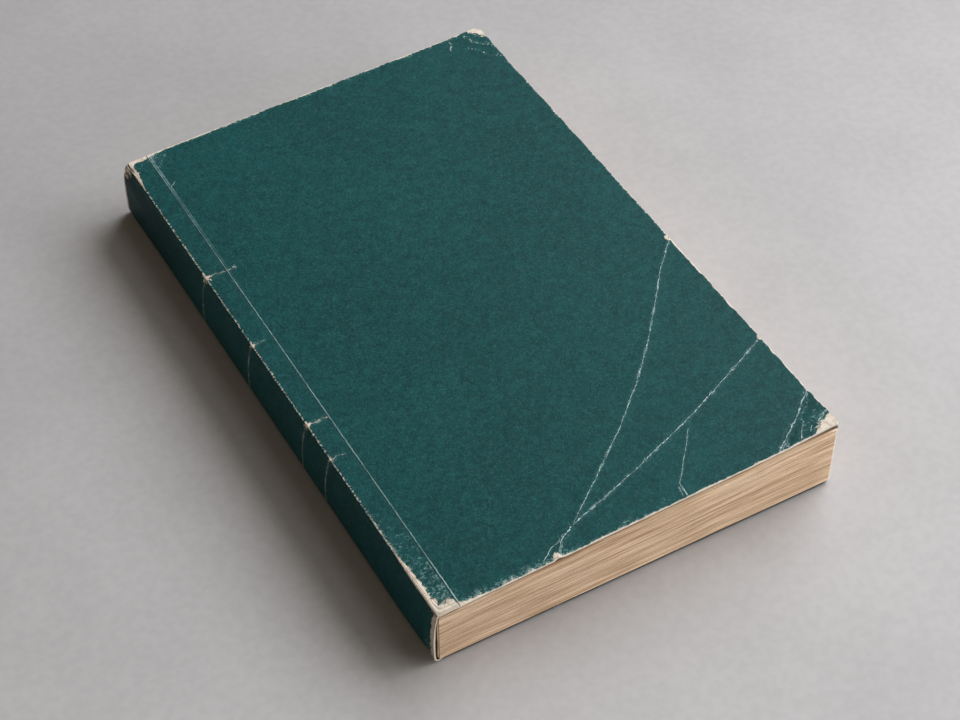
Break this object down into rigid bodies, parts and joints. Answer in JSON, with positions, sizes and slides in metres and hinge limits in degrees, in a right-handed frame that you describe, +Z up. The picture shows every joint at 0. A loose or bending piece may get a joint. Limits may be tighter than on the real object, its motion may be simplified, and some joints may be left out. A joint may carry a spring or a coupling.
{
  "type": "paperback book",
  "caption": "Worn paperback lying closed: wedge-shaped text block, glued bowed spine and thin card covers that open on pressed score lines, with creases and dog-eared corners.",
  "frame": {"origin": "on the surface the book lies on, under the centre of its bounding box", "axes": "+X from the spine to the fore edge, +Y from the tail edge to the head edge, +Z up through the front cover"},
  "size_m": [0.1128, 0.178, 0.0217],
  "materials": {
    "cover_card": "dark teal green card, matt and scuffed, with raw cream paper at worn edges",
    "page_paper": "uncoated book paper, yellowed to tan at its cut edges",
    "binding_glue": "aged amber binding glue"
  },
  "bodies": {
    "book_block": {"text_block": "page_paper", "spine_glue": "binding_glue", "front_side_glue": "binding_glue", "back_side_glue": "binding_glue", "spine_wrap": "cover_card"},
    "front_panel": {"front_cover": "cover_card"},
    "back_panel": {"back_cover": "cover_card"}
  },
  "joints": [
    {"name": "front_cover_hinge", "type": "hinge", "parent": "book_block", "child": "front_panel", "pos_m": [-0.04901, 0, 0.01707], "axis": [0, -1, 0], "range_deg": [0, 180]},
    {"name": "back_cover_hinge", "type": "hinge", "parent": "book_block", "child": "back_panel", "pos_m": [-0.04901, 0, -0.00005], "axis": [0, 1, 0], "range_deg": [0, 180]}
  ]
}
